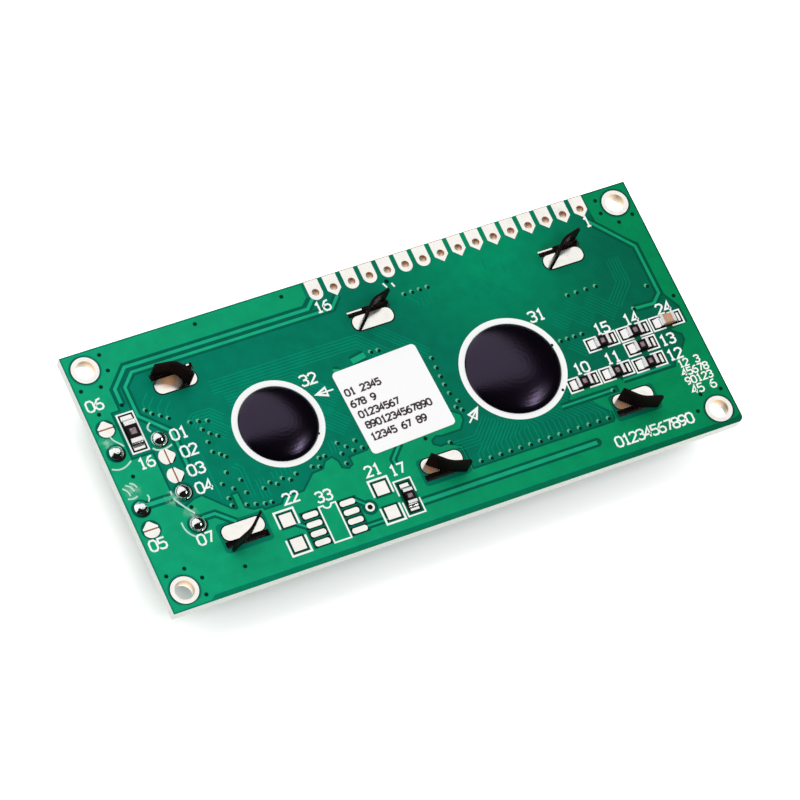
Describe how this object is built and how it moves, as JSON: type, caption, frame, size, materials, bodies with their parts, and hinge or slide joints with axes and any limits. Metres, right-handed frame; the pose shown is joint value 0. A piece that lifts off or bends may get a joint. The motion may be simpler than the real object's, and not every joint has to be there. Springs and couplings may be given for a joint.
{
  "type": "character lcd module",
  "caption": "Two-line character display module on a circuit board: bezel and display on one face, epoxied controllers and a plated header row on the other.",
  "frame": {"origin": "middle of the bezel's front face, which the module rests on", "axes": "+X along the board's long side, +Y towards the header row, +Z away from the display, towards the component side"},
  "size_m": [0.08, 0.036, 0.0116],
  "materials": {
    "solder_mask": "green solder mask, satin gloss",
    "tinned_copper": "bright tinned copper",
    "white_print": "white screen print",
    "black_paint": "satin black paint on steel sheet",
    "polariser_film": "smooth film",
    "display_glass": "polished",
    "connector_rubber": "matt silicone",
    "white_film": "white film",
    "clear_acrylic": "clear moulding",
    "white_plastic": "white moulding",
    "lamp_board": "white solder mask",
    "lamp_phosphor": "yellow lamp resin",
    "solder": "bright solder",
    "epoxy": "satin black epoxy",
    "label_paper": "coated paper",
    "chip_resistor": "black glaze",
    "chip_capacitor": "tan ceramic"
  },
  "bodies": {
    "root": {"pcb": "solder_mask", "mounting_rings": "tinned_copper", "header_pads": "tinned_copper", "tab_pads": "tinned_copper", "component_pads": "tinned_copper", "jumper_pads": "tinned_copper", "board_print": "white_print", "bezel": "black_paint", "front_polariser": "polariser_film", "front_glass": "display_glass", "rear_glass": "display_glass", "rear_polariser": "polariser_film", "rubber_connector_top": "connector_rubber", "rubber_connector_bottom": "connector_rubber", "diffuser": "white_film", "light_guide": "clear_acrylic", "reflector": "white_film", "backlight_frame": "white_plastic", "lamp_strip": "lamp_board", "lamps": "lamp_phosphor", "backlight_lead_1": "solder", "backlight_lead_2": "solder", "lead_joints": "solder", "jumper_bridges": "solder", "large_epoxy_dome": "epoxy", "small_epoxy_dome": "epoxy", "label": "label_paper", "resistor_1": "chip_resistor", "resistor_2": "chip_resistor", "resistor_3": "chip_resistor", "resistor_4": "chip_resistor", "resistor_5": "chip_resistor", "resistor_6": "chip_resistor", "resistor_7": "chip_resistor", "resistor_8": "chip_resistor", "capacitor": "chip_capacitor", "solder_fillets": "solder"}
  },
  "joints": []
}
